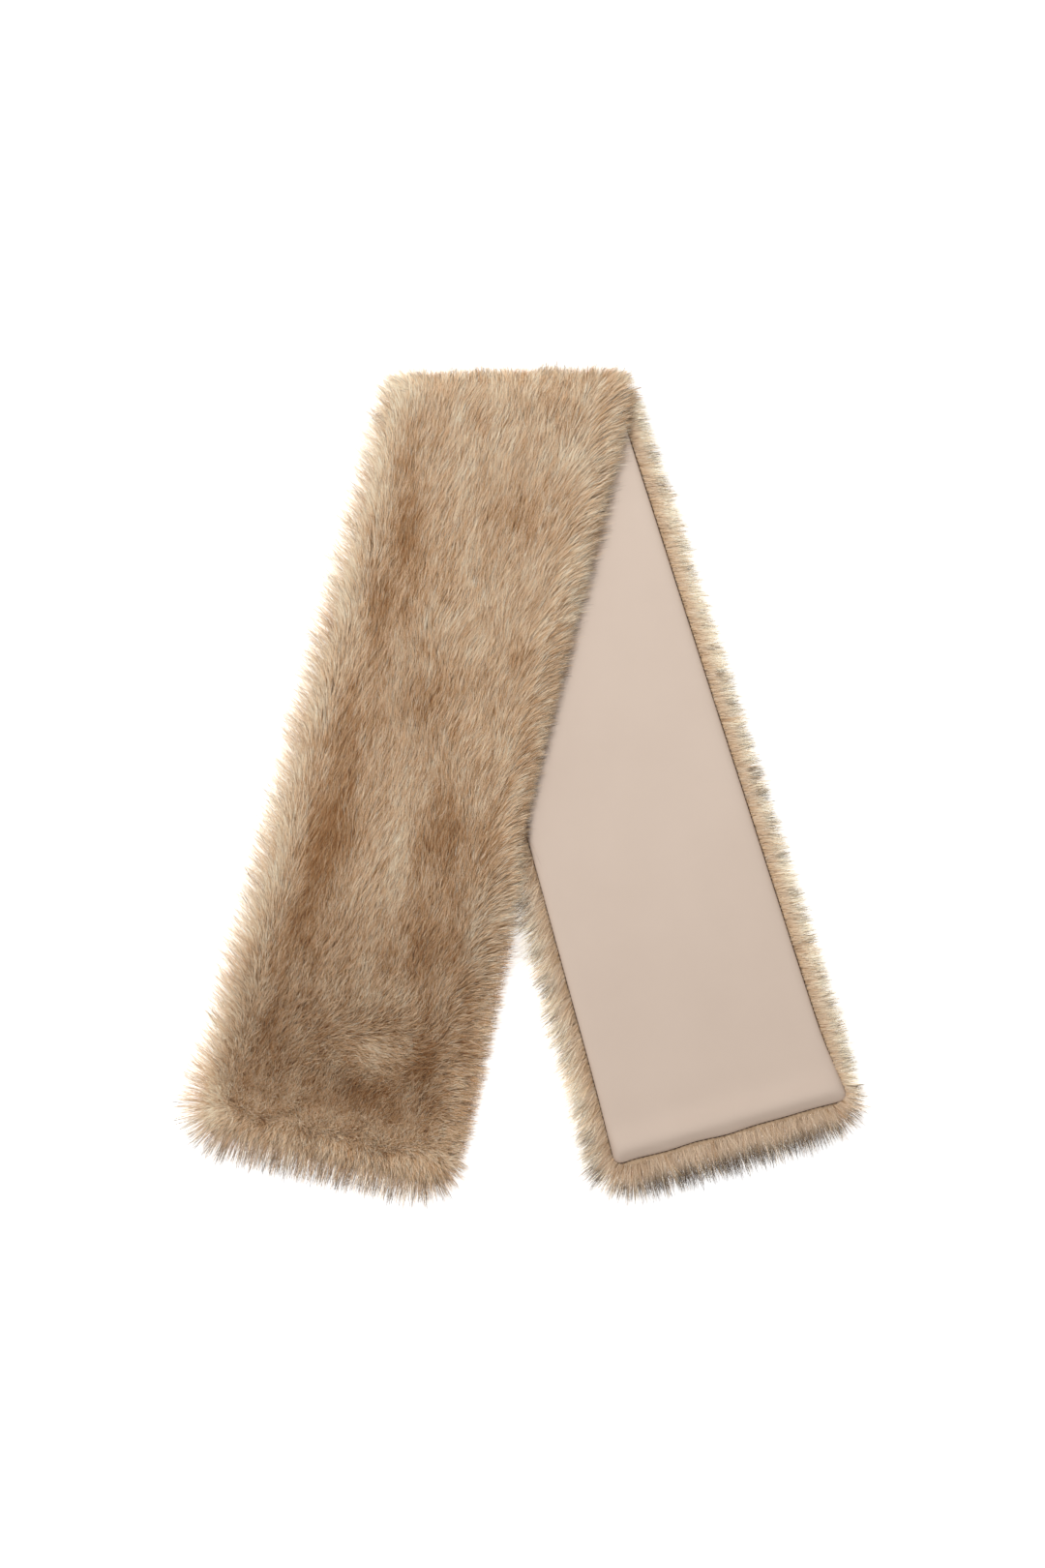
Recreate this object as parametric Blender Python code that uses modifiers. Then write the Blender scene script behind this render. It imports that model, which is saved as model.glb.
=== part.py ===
"""Fur collar wrap: a straight strip of long-pile fur with a smooth lining on its back, folded once
across the middle with the fur outside and laid flat.

Metres, +Z up, resting on Z = 0. +Y runs towards the fold and +X to the right. The back tail lies
on its pile with its lining up. The front tail lies on it at the fold, fur up, and comes down to
the surface where it leaves it. Each fur solid is the reach of the cloth and its pile."""

import math
from collections import namedtuple

import bmesh
import bpy
from mathutils import Matrix, Vector

# The strip, folded.
TAIL_LENGTH = 0.499
FOLD_WIDTH = 0.160
END_WIDTH = 0.1775
END_RADIUS = 0.022

# How it lies, seen from above. Angles turn from -Y towards +X.
FOLD_MIDDLE = Vector((-0.0101, 0.2420))
FOLD_TILT = math.radians(1.25)
FRONT_ANGLE = math.radians(-13.9)
BACK_ANGLE = math.radians(16.5)

# The layers.
GAP = 0.0003
LINING_WALL = 0.0012
BACK_THICK = 0.0110
FRONT_THICK = 0.0150
FRONT_LIFT = BACK_THICK + GAP
STACK_THICK = FRONT_LIFT + FRONT_THICK
CROWN = 0.0015

# How the front tail comes down beside the back tail: how far outside the back tail's edge it
# starts, and over what run it reaches the surface.
SLOPE_START = 0.006
SLOPE_RUN = 0.050

# The lining stops short of the pile's reach.
SIDE_BORDER = 0.0155
END_BORDER = 0.0210
LINING_RADIUS = 0.009

# The roll of fur at the fold.
ROLL_DEPTH = 0.0150
ROLL_CORNER = 0.0150
ROLL_SIDES = 32
ROLL_RINGS = 12

# Cells of the panels' meshes between their close-set rims.
FRONT_FUR_CELLS = (8, 16)
BACK_FUR_CELLS = (4, 6)
FRONT_LINING_CELLS = (8, 24)
BACK_LINING_CELLS = (2, 4)
CUT_DEPTH = 0.004
SMOOTH_ANGLE = math.radians(50)
# A face whose normal stands less than this counts as a side.
SIDE_FACE = 0.5

FUR_COLOUR = (0.50, 0.36, 0.235, 1)
LINING_COLOUR = (0.68, 0.56, 0.47, 1)

Tail = namedtuple("Tail", "fold_left fold_right end_left end_right")


def clear_scene():
    for thing in list(bpy.data.objects):
        bpy.data.objects.remove(thing)


def collection(name):
    made = bpy.data.collections.new(name)
    bpy.context.scene.collection.children.link(made)
    return made


def material(name, colour, roughness):
    made = bpy.data.materials.new(name)
    made.use_nodes = True
    shader = made.node_tree.nodes["Principled BSDF"]
    shader.inputs["Base Color"].default_value = colour
    shader.inputs["Roughness"].default_value = roughness
    shader.inputs["Metallic"].default_value = 0
    return made


def add_object(name, mesh, group, surface=None):
    """Links a finished bmesh as an object of its own."""
    data = bpy.data.meshes.new(name)
    mesh.to_mesh(data)
    mesh.free()
    if surface:
        data.materials.append(surface)
    data.shade_smooth()
    data.set_sharp_from_angle(angle=SMOOTH_ANGLE)
    made = bpy.data.objects.new(name, data)
    group.objects.link(made)
    return made


def make_tail(angle):
    """The four corners of a tail, from the fold to its square-cut end."""
    fold_half = Vector((math.cos(FOLD_TILT), math.sin(FOLD_TILT))) * FOLD_WIDTH / 2
    end_half = Vector((math.cos(angle), math.sin(angle))) * END_WIDTH / 2
    end = FOLD_MIDDLE + Vector((math.sin(angle), -math.cos(angle))) * TAIL_LENGTH
    return Tail(FOLD_MIDDLE - fold_half, FOLD_MIDDLE + fold_half, end - end_half, end + end_half)


def place(tail, across, along):
    """The point in plan at these shares of a tail's width, from the left, and of its length."""
    left = tail.fold_left.lerp(tail.end_left, along)
    right = tail.fold_right.lerp(tail.end_right, along)
    return left.lerp(right, across)


def outside_back_tail(spot):
    """How far a point in plan lies to the left of the back tail's left edge."""
    edge = (BACK.end_left - BACK.fold_left).normalized()
    return (spot - BACK.fold_left).dot(Vector((edge.y, -edge.x)))


def front_lift(spot):
    """The height of the front tail's underside: on the back tail, then down to the surface."""
    share = (outside_back_tail(spot) - SLOPE_START) / SLOPE_RUN
    share = min(1, max(0, share))
    return FRONT_LIFT * (1 - share * share * (3 - 2 * share))


def flat_lift(spot):
    return 0.0


def rim_lines(size, rim, cells, both_rims):
    """Positions from 0 to size, with close-set lines over the rim, at both ends or at the last."""
    start = rim if both_rims else 0
    middle = [start + (size - rim - start) * i / cells for i in range(cells + 1)]
    first = [0, rim / 2] if both_rims else []
    return first + middle + [size - rim / 2, size]


def round_corner(across, along, width, length, radius):
    """Moves a point of a panel onto the rounded corners of its free end."""
    side = min(across, width - across)
    end = length - along
    if side >= radius or end >= radius:
        return across, along
    out, down = 1 - side / radius, 1 - end / radius
    pull = max(out, down) / math.hypot(out, down)
    new_side = radius * (1 - out * pull)
    new_across = new_side if across < width / 2 else width - new_side
    return new_across, length - radius * (1 - down * pull)


def panel(tail, cells, radius, side_border=0.0, end_border=0.0, past_fold=0.0):
    """A flat grid laid out as a tail's panel, with these borders left free."""
    width = END_WIDTH - 2 * side_border
    length = TAIL_LENGTH - end_border
    columns = rim_lines(width, radius, cells[0], True)
    rows = rim_lines(length, radius, cells[1], False)
    rows[0] = -past_fold
    mesh = bmesh.new()
    last_column, last_row = len(columns) - 1, len(rows) - 1
    bmesh.ops.create_grid(mesh, x_segments=last_column, y_segments=last_row, size=1)
    for vert in mesh.verts:
        column = columns[round((vert.co.x + 1) / 2 * last_column)]
        row = rows[round((1 - vert.co.y) / 2 * last_row)]
        across, along = round_corner(column, row, width, length, radius)
        local_width = FOLD_WIDTH + (END_WIDTH - FOLD_WIDTH) * along / TAIL_LENGTH
        border = side_border / local_width
        share = border + (1 - 2 * border) * across / width
        vert.co.xy = place(tail, share, along / TAIL_LENGTH)
        vert.co.z = 0
    return mesh


def extrude_up(mesh, lift, low, high):
    """Closes a flat grid into a wall between two heights above the lie. Returns its upper points."""
    raised = bmesh.ops.extrude_face_region(mesh, geom=mesh.faces[:], use_keep_orig=True)
    top = {thing for thing in raised["geom"] if isinstance(thing, bmesh.types.BMVert)}
    for vert in mesh.verts:
        vert.co.z = lift(vert.co.xy) + (high if vert in top else low)
    bmesh.ops.recalc_face_normals(mesh, faces=mesh.faces)
    return top


def add_lining(name, tail, cells, lift, low):
    """A stretch of the lining, lying at this height above the lie."""
    mesh = panel(tail, cells, LINING_RADIUS, SIDE_BORDER, END_BORDER)
    extrude_up(mesh, lift, low, low + LINING_WALL)
    return add_object(name, mesh, WRAP, LINING)


def add_cutter(name, tail, cells, lift, low, high):
    """The lining's own form, a gap larger all round, to cut its seat in the fur."""
    mesh = panel(tail, cells, LINING_RADIUS, SIDE_BORDER - GAP, END_BORDER - GAP, CUT_DEPTH)
    extrude_up(mesh, lift, low, high)
    made = add_object(name, mesh, CUTTERS)
    made.hide_render = True
    made.display_type = "WIRE"
    return made


def add_fur(name, tail, cells, lift, thick, crown, cutter):
    """A tail of fur: flat below, round at its rim, square where it meets the fold."""
    mesh = panel(tail, cells, END_RADIUS)
    fold_line = (tail.fold_right - tail.fold_left).normalized()
    normal = Vector((-fold_line.y, fold_line.x))
    top = extrude_up(mesh, lift, 0, thick)
    for vert in top:
        if all(edge.other_vert(vert) in top for edge in vert.link_edges):
            vert.co.z += crown
    crease = mesh.edges.layers.float.new("crease_edge")
    for edge in mesh.edges:
        at_fold = [abs((vert.co.xy - tail.fold_left).dot(normal)) < GAP for vert in edge.verts]
        sides = [abs(face.normal.z) < SIDE_FACE for face in edge.link_faces]
        below = not any(vert in top for vert in edge.verts)
        turn = sides.count(True) == 1 or all(sides)
        if (below and turn) or (all(at_fold) and turn):
            edge[crease] = 1
    made = add_object(name, mesh, WRAP, FUR)
    smooth = made.modifiers.new("round", "SUBSURF")
    smooth.levels = 1
    smooth.render_levels = 1
    seat = made.modifiers.new("lining_seat", "BOOLEAN")
    seat.operation = "DIFFERENCE"
    seat.solver = "EXACT"
    seat.object = cutter
    return made


def add_fold():
    """The turn at the fold: a ball pulled out along the crease and cut flat where it meets the tails."""
    mesh = bmesh.new()
    bmesh.ops.create_uvsphere(mesh, u_segments=ROLL_SIDES, v_segments=ROLL_RINGS, radius=1)
    bmesh.ops.rotate(mesh, verts=mesh.verts, matrix=Matrix.Rotation(math.pi / 2, 3, "Y"))
    bmesh.ops.scale(mesh, verts=mesh.verts, vec=(ROLL_CORNER, ROLL_DEPTH, STACK_THICK / 2))
    stretch = FOLD_WIDTH / 2 - ROLL_CORNER
    for vert in mesh.verts:
        if abs(vert.co.x) > GAP:
            vert.co.x += math.copysign(stretch, vert.co.x)
    whole = mesh.verts[:] + mesh.edges[:] + mesh.faces[:]
    cut = bmesh.ops.bisect_plane(mesh, geom=whole, plane_no=(0, 1, 0), clear_inner=True)
    rim = [thing for thing in cut["geom_cut"] if isinstance(thing, bmesh.types.BMEdge)]
    bmesh.ops.contextual_create(mesh, geom=rim)
    bmesh.ops.recalc_face_normals(mesh, faces=mesh.faces)
    made = add_object("fur_fold", mesh, WRAP, FUR)
    made.location = (FOLD_MIDDLE.x, FOLD_MIDDLE.y, STACK_THICK / 2)
    made.location += Vector((-math.sin(FOLD_TILT), math.cos(FOLD_TILT), 0)) * GAP
    made.rotation_euler = (0, 0, FOLD_TILT)
    return made


clear_scene()
WRAP = collection("fur_collar_wrap")
CUTTERS = collection("cutters")
FUR = material("fur_pile", FUR_COLOUR, 0.75)
LINING = material("smooth_lining", LINING_COLOUR, 0.6)
FRONT = make_tail(FRONT_ANGLE)
BACK = make_tail(BACK_ANGLE)

back_seat = BACK_THICK - LINING_WALL - GAP
back_cutter = add_cutter(
    "back_seat_cutter", BACK, BACK_LINING_CELLS, flat_lift, back_seat, BACK_THICK + CUT_DEPTH
)
front_cutter = add_cutter(
    "front_seat_cutter", FRONT, FRONT_LINING_CELLS, front_lift, -CUT_DEPTH, LINING_WALL + GAP
)
add_fur("fur_back_tail", BACK, BACK_FUR_CELLS, flat_lift, BACK_THICK, 0.0, back_cutter)
add_fur("fur_front_tail", FRONT, FRONT_FUR_CELLS, front_lift, FRONT_THICK, CROWN, front_cutter)
add_fold()

add_lining("lining_back_tail", BACK, BACK_LINING_CELLS, flat_lift, back_seat + GAP)
add_lining("lining_front_tail", FRONT, FRONT_LINING_CELLS, front_lift, 0)
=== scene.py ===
"""Looks of the fur collar wrap: a strip of long faux fur with a smooth lining, folded once with
the fur outside and laid flat. Metres, +Z up, +Y towards the fold, +X to the right, on Z = 0.

Each tail has its own measures: off, to the right of its middle line, and up, from its end towards
the fold. The pile is flat tapered hairs, rooted in a low dense underfur and combed by rule."""

import math
from collections import namedtuple

import bpy
import numpy as np
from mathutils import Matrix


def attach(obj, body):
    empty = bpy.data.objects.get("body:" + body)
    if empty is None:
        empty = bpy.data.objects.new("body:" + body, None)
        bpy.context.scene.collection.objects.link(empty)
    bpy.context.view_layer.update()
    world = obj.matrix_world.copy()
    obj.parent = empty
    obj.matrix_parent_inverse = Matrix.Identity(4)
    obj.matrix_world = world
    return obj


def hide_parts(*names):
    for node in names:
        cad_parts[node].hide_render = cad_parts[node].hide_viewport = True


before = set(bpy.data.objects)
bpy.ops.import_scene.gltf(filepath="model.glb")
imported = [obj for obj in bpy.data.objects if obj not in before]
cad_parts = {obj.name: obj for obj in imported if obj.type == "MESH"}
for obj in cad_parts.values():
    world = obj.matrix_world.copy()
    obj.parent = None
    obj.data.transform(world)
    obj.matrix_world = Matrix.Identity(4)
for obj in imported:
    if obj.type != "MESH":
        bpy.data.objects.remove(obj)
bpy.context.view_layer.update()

# The strip, folded, as the part has it.
TAIL_LENGTH = 0.499
FOLD_WIDTH = 0.160
END_WIDTH = 0.1775
FOLD_MIDDLE = np.array((-0.0101, 0.2420))
FOLD_TILT = math.radians(1.25)
ALONG_FOLD = np.array((math.cos(FOLD_TILT), math.sin(FOLD_TILT)))
PAST_FOLD = np.array((-math.sin(FOLD_TILT), math.cos(FOLD_TILT)))
FRONT_ANGLE = math.radians(-13.9)
BACK_ANGLE = math.radians(16.5)
FRONT_LIFT = 0.0113
SLOPE_START = 0.006
SLOPE_RUN = 0.050
SIDE_BORDER = 0.0155
END_BORDER = 0.0210
LINING_RADIUS = 0.0052

# The underfur, the dense low part of the pile, and how far past the seam it reaches.
UNDERFUR_SIDE = SIDE_BORDER - 0.0040
UNDERFUR_END = END_BORDER - 0.0055
UNDERFUR_RADIUS = 0.014
UNDERFUR_ROUND = 0.014
UNDERFUR_HALF_FOLD = FOLD_WIDTH / 2 - UNDERFUR_SIDE
FRONT_UNDERFUR = 0.0055
FRONT_SKIN = 0.0015
FRONT_EDGE = 0.0008
BACK_SEAT = 0.0090
BACK_RIM_HEIGHT = 0.0055
BACK_EDGE = 0.0006
BACK_FOOT = 0.0007
FOLD_DEPTH = 0.0065
FOLD_PAST = 0.0004
FOLD_WALL = 0.3
FOLD_END_SIZE = 0.70
FOLD_END_ROUND = 0.006
PARTING = 0.026
PARTING_HALF = 0.010
PARTING_BELOW = 0.012
PARTING_ABOVE = 0.020
PARTING_MORE = 14
PARTING_SWELL = 0.0030

# The front tail's waist: where it is, how far its right side draws in, and how softly.
WAIST_UP = 0.238
WAIST_IN = 0.0040
WAIST_ABOVE = 0.150
WAIST_BELOW = 0.040
WAIST_REACH = 0.030

# The lining.
LINING_WALL = 0.0009
LINING_GAP = 0.0002
LINING_HEM = 0.0005
PUFF_SIDE = 0.0060
PUFF_END = 0.0085
LINING_PUFF = 0.0026
END_SWELL = 0.0038
END_SWELL_IN = 0.010
END_SWELL_HALF = 0.0085
RIGHT_EAR = 0.0040
LEFT_EAR = 0.0010
EAR_SIZE = 0.030
EDGE_WAVE = 0.0007
EDGE_WAVE_LENGTH = 0.045
EDGE_WAVE_REACH = 0.012

# Soft troughs and ridges pressed into the lining: height, off, up, half off, half up, and how far
# each leans, about the height up the tail that follows.
CREASES = (
    (0.0005, -0.020, 0.062, 0.045, 0.012, 0.0, 0.0),
    (-0.0004, 0.022, 0.110, 0.010, 0.050, -0.3, 0.1),
    (0.0003, -0.012, 0.190, 0.008, 0.060, 0.4, 0.2),
    (-0.0003, 0.040, 0.290, 0.007, 0.070, 0.0, 0.0),
)
CREASE_DRIFT = 0.00012
CREASE_DRIFT_SIZE = 0.030

# The stitches.
STITCH_PITCH = 0.0029
STITCH_LENGTH = 0.0027
STITCH_HALF = 0.00050
STITCH_SHIFT = 0.00006
STITCH_RINGS = 3
STITCH_SIDES = 4
BACK_SEAM_LIFT = 0.0009
FRONT_SEAM_LIFT = 0.0005
SEAM_OUT = 0.0002
SEAM_START = 0.001

# The hairs.
FRONT_HAIRS = 164000
FRONT_RIM_HAIRS = 20000
BACK_RIM_HAIRS = 32000
UNDER_HAIRS = 16000
FOLD_HAIRS = 17000
FRONT_HAIR = 0.0160
FRONT_EDGE_HAIR = 0.0110
FOLD_HAIR = 0.0110
UNDER_HAIR = 0.016
PRESSED = (0.0002, 0.0006)
STRETCHES = (0.30, 0.65)
HAIR_WIDTH = 0.00028
STRAYS = 0.03
TAPER = 0.85
TWIST = math.radians(40)
ROOT_RISE = math.radians(44)
TIP_RISE = math.radians(13)
LOCK_SIZE = 0.0012
LOCK_PULL = 0.24
RIM_LOCK = 0.0016
RIM_PULL = 0.13
RIM_SWELLS = 0.45
PILE_TOP = 0.0245
PILE_GIVE = 0.0065
LONGEST = 0.028
LESS_NEAR_END = 0.0045
NEAR_END = 0.075
RIM_NEAR_END = 0.020
CORNER_TURN = 0.030
CORNER_SIZE = 0.035
FOLD_BEND = 34
FOLD_BEND_START = 0.002
RIM_LOW = math.radians(-70)
RIM_HIGH = math.radians(80)
RIM_RISE = 0.0028
RIM_INSET = 0.004
BACK_SHELF = 0.0041
ON_SHELF = 0.55
RIM_DROOP = 0.10
HAIR_CLEAR = 0.0004
GROUND_CLEAR = 0.0001
STEP = 0.0004
TURN_STEP = 0.01

# How far chance turns the comb, in radians: in slow and quick swells and how long those are, by
# locks, by hairs, and more by hairs at the rim and by strays. Then how much it lifts a lock.
SLOW_TURN, SLOW_SIZE = 0.13, 0.045
QUICK_TURN, QUICK_SIZE = 0.14, 0.009
LOCK_TURN = 0.06
HAIR_TURN = 0.16
RIM_TURN = 0.14
STRAY_TURN = 0.35
LOCK_LIFT = 0.08

# How chance changes the tone, by locks and by hairs.
LOCK_TONE = 0.14
HAIR_TONE = 0.21

# The front tail's comb: how far it fans over each side and turns over the end, where it starts to
# stand up, and its cowlick.
RIGHT_FAN = 0.031
LEFT_FAN = 0.016
END_TURN = 0.021
LOW = 0.05
COWLICK = (0.014, 0.084, 0.036, 0.018)

# Where a hair lies on the colour map: across it from root to tip, how wide it is there, and up the
# map from its foot for hairs of plain colour and for hairs with dark tips, which start at the last.
MAP_ROOT = 0.02
MAP_RUN = 0.96
MAP_WIDTH = 0.0012
PLAIN = (0.03, 0.62)
GUARD = (0.72, 0.25)
FIRST_GUARD = 0.685

Tail = namedtuple("Tail", "fold_left fold_right end_left end_right")
Pelt = namedtuple("Pelt", "root right ahead out")
Rim = namedtuple("Rim", "tail low high shelf lean reach guards tone ground")


# ---------------------------------------------------------------- the lie
def unit(vectors):
    return vectors / np.maximum(np.linalg.norm(vectors, axis=-1, keepdims=True), 1e-12)


def blend(a, b, share):
    return a + (b - a) * share


def fade(distance, reach):
    """1 at no distance, falling softly to 0 at this reach."""
    share = np.clip(distance / reach, 0, 1)
    return 1 - share * share * (3 - 2 * share)


def dome(distance, reach):
    """0 at an edge, rising as a quarter round to 1 at this reach."""
    return np.sqrt(1 - (1 - np.clip(distance / reach, 0, 1)) ** 2)


def hill(off, up, at_off, at_up, half_off, half_up):
    """1 at this place, falling softly to nothing over its half widths."""
    return np.exp(-(((off - at_off) / half_off) ** 2) - ((up - at_up) / half_up) ** 2)


def drift(spots, size, seed):
    """Smooth chance swells of about this size over points in plan, mostly from -1 to 1."""
    rng = np.random.default_rng(seed)
    count = 9
    turn = rng.uniform(0, math.tau, count)
    pace = rng.uniform(0.6, 1.5, count) * math.tau / size
    start = rng.uniform(0, math.tau, count)
    waves = spots @ (np.stack([np.cos(turn), np.sin(turn)]) * pace) + start
    return np.cos(waves).sum(axis=-1) / math.sqrt(count)


def make_tail(angle):
    fold_half = ALONG_FOLD * FOLD_WIDTH / 2
    end_half = np.array((math.cos(angle), math.sin(angle))) * END_WIDTH / 2
    end = FOLD_MIDDLE + np.array((math.sin(angle), -math.cos(angle))) * TAIL_LENGTH
    return Tail(FOLD_MIDDLE - fold_half, FOLD_MIDDLE + fold_half, end - end_half, end + end_half)


def width_at(up):
    return END_WIDTH - (END_WIDTH - FOLD_WIDTH) * up / TAIL_LENGTH


def place(tail, off, up):
    """Points in plan from a tail's own measures."""
    along = (1 - up / TAIL_LENGTH)[..., None]
    across = (0.5 + off / width_at(up))[..., None]
    left = blend(tail.fold_left, tail.end_left, along)
    right = blend(tail.fold_right, tail.end_right, along)
    return blend(left, right, across)


def with_height(spots, height):
    column = np.broadcast_to(height, spots.shape[:-1])[..., None]
    return np.concatenate([spots, column], axis=-1)


def front_lift(spots):
    """The height of the front tail's underside: on the back tail, then down to the surface."""
    edge = unit(BACK.end_left - BACK.fold_left)
    outside = (spots - BACK.fold_left) @ np.array((edge[1], -edge[0]))
    return FRONT_LIFT * fade(outside - SLOPE_START, SLOPE_RUN)


def from_rim(off, up, side_inset, end_inset, radius):
    """How far points lie inside a tail's outline drawn in by these insets, its corners round."""
    side = width_at(up) / 2 - side_inset - np.abs(off)
    down = up - end_inset
    corner = radius - np.hypot(np.maximum(radius - side, 0), np.maximum(radius - down, 0))
    return np.where((side < radius) & (down < radius), corner, np.minimum(side, down))


def round_corner(off, up, side_inset, end_inset, radius):
    """Moves points near the square corners of a tail's end onto its rounded ones."""
    half = width_at(up) / 2 - side_inset
    out = 1 - (half - np.abs(off)) / radius
    low = 1 - (up - end_inset) / radius
    near = (out > 0) & (low > 0)
    pull = np.where(near, np.maximum(out, low) / np.maximum(np.hypot(out, low), 1e-9), 1)
    new_off = np.sign(off) * (half - radius * (1 - out * pull))
    new_up = end_inset + radius * (1 - low * pull)
    return np.where(near, new_off, off), np.where(near, new_up, up)


# ---------------------------------------------------------------- the surfaces
def underfur_depth(off, up):
    return from_rim(off, up, UNDERFUR_SIDE, UNDERFUR_END, UNDERFUR_RADIUS)


def waist(up):
    """1 where the front tail's right side draws in most, falling to 0 up and down from there."""
    reach = np.where(up > WAIST_UP, WAIST_ABOVE, WAIST_BELOW)
    return np.exp(-(((up - WAIST_UP) / reach) ** 2))


def drawn_in(off, up):
    """The front tail's right side is drawn in a little at its waist."""
    right = width_at(up) / 2 - UNDERFUR_SIDE - off
    return off - WAIST_IN * waist(up) * fade(right, WAIST_REACH), up


def front_underfur_low(off, up):
    spots = place(FRONT, *drawn_in(off, up))
    return with_height(spots, front_lift(spots) + FRONT_SKIN)


def front_underfur_high(off, up):
    spots = place(FRONT, *drawn_in(off, up))
    swell = FRONT_EDGE + FRONT_UNDERFUR * dome(underfur_depth(off, up), UNDERFUR_ROUND)
    swell = swell + PARTING_SWELL * np.exp(-(((up - PARTING) / PARTING_HALF) ** 2))
    return with_height(spots, front_lift(spots) + FRONT_SKIN + swell)


def back_underfur_low(off, up):
    rise = dome(underfur_depth(off, up), UNDERFUR_ROUND)
    return with_height(place(BACK, off, up), blend(BACK_RIM_HEIGHT, BACK_FOOT, rise))


def back_underfur_high(off, up):
    rise = dome(underfur_depth(off, up), UNDERFUR_ROUND)
    height = blend(BACK_RIM_HEIGHT + BACK_EDGE, BACK_SEAT, rise)
    return with_height(place(BACK, off, up), height)


def fold_round(off, turn, reach=1.0):
    """Round the turn at the fold, from its top at turn 0 to its foot at turn 1. It is smaller
    towards its two ends."""
    top = FRONT_LIFT + FRONT_SKIN + FRONT_UNDERFUR + FRONT_EDGE
    end = dome(UNDERFUR_HALF_FOLD - np.abs(off), FOLD_END_ROUND)
    angle = math.pi * (0.5 - turn)
    middle = (top + BACK_FOOT) / 2
    size = reach * blend(FOLD_END_SIZE, 1, end)
    spots = FOLD_MIDDLE + off[..., None] * ALONG_FOLD
    spots = spots + (FOLD_PAST + FOLD_DEPTH * size * np.cos(angle))[..., None] * PAST_FOLD
    return with_height(spots, middle + (top - BACK_FOOT) / 2 * size * np.sin(angle))


def lining_puff(off, up):
    """How full the lining is: soft over its sides and softer over its end."""
    half = width_at(up) / 2 - SIDE_BORDER
    sides = dome(half - np.abs(off), PUFF_SIDE)
    end = dome(up - END_BORDER, PUFF_END)
    inside = dome(from_rim(off, up, SIDE_BORDER, END_BORDER, LINING_RADIUS), PUFF_SIDE)
    return np.minimum(np.minimum(sides, inside), end)


def lining_creases(off, up):
    """How much the lining's creases lift it or let it down."""
    slack = np.zeros(np.shape(off))
    for height, at_off, at_up, half_off, half_up, lean, about in CREASES:
        leaning = off + lean * (up - about)
        slack = slack + height * hill(leaning, up, at_off, at_up, half_off, half_up)
    stretched = np.stack([off, up / 2], axis=-1)
    return slack + CREASE_DRIFT * drift(stretched, CREASE_DRIFT_SIZE, 31)


def pulled_corners(off, up):
    """The back lining's corners are drawn out a little, the right one more, and its end is not
    quite straight."""
    half = width_at(up) / 2 - SIDE_BORDER
    right = RIGHT_EAR * hill(off, up, half, END_BORDER, EAR_SIZE, EAR_SIZE)
    left = LEFT_EAR * hill(off, up, -half, END_BORDER, EAR_SIZE, EAR_SIZE)
    wave = EDGE_WAVE * drift(np.stack([off, 0 * off], axis=-1), EDGE_WAVE_LENGTH, 33)
    return off + right - left, up + wave * fade(up - END_BORDER, EDGE_WAVE_REACH)


def back_lining_high(off, up):
    swell = END_SWELL * np.exp(-(((up - END_BORDER - END_SWELL_IN) / END_SWELL_HALF) ** 2))
    full = lining_puff(off, up)
    height = BACK_SEAT + LINING_GAP + (LINING_PUFF + swell) * full + lining_creases(off, up)
    return with_height(place(BACK, *pulled_corners(off, up)), height)


def back_lining_low(off, up):
    high = back_lining_high(off, up)
    return high - np.array((0, 0, LINING_WALL))


def front_lining_low(off, up):
    spots = place(FRONT, off, up)
    return with_height(spots, front_lift(spots) + LINING_HEM * (1 - lining_puff(off, up)))


def front_lining_high(off, up):
    return front_lining_low(off, up) + np.array((0, 0, LINING_WALL))


# ---------------------------------------------------------------- meshes
SMOOTH_ANGLE = math.radians(60)
RIM_STEPS = 600
SEAM_STEPS = 900


def new_grid(name, columns, rows):
    """A flat grid of cloth. Returns it and where its points lie, from -1 to 1 across it and from 0
    to 1 up it."""
    bpy.ops.object.select_all(action="DESELECT")
    bpy.ops.mesh.primitive_grid_add(x_subdivisions=columns, y_subdivisions=rows, size=2)
    cloth = bpy.context.object
    cloth.name = cloth.data.name = name
    flat = np.empty(len(cloth.data.vertices) * 3, np.float32)
    cloth.data.vertices.foreach_get("co", flat)
    flat = flat.reshape(-1, 3).astype(float)
    return cloth, flat[:, 0], (flat[:, 1] + 1) / 2


def close_wall(cloth, low, high):
    """Extrudes a grid into a closed wall between two sets of points."""
    bpy.ops.object.mode_set(mode="EDIT")
    bpy.ops.mesh.select_all(action="SELECT")
    bpy.ops.mesh.extrude_region_move()
    bpy.ops.object.mode_set(mode="OBJECT")
    both = np.concatenate([low, high]).astype(np.float32)
    cloth.data.vertices.foreach_set("co", both.ravel())
    bpy.ops.object.mode_set(mode="EDIT")
    bpy.ops.mesh.select_all(action="SELECT")
    bpy.ops.mesh.normals_make_consistent(inside=False)
    bpy.ops.object.mode_set(mode="OBJECT")
    bpy.ops.object.shade_smooth_by_angle(angle=SMOOTH_ANGLE)


def lay_panel(name, low, high, cells, side_inset, end_inset, radius, finish):
    """A panel of a tail as a closed wall between two surfaces, its lines closest at its rim."""
    cloth, across, along = new_grid(name, *cells)
    up = end_inset + (TAIL_LENGTH - end_inset) * (1 - np.cos(along * math.pi / 2))
    off = np.sin(across * math.pi / 2) * (width_at(up) / 2 - side_inset)
    off, up = round_corner(off, up, side_inset, end_inset, radius)
    close_wall(cloth, low(off, up), high(off, up))
    cloth.data.materials.append(finish)
    return cloth


def lay_fold(name, cells, finish):
    """The underfur round the turn at the fold."""
    cloth, across, turn = new_grid(name, *cells)
    off = np.sin(across * math.pi / 2) * UNDERFUR_HALF_FOLD
    close_wall(cloth, fold_round(off, 1 - turn, FOLD_WALL), fold_round(off, 1 - turn))
    cloth.data.materials.append(finish)
    return cloth


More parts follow.
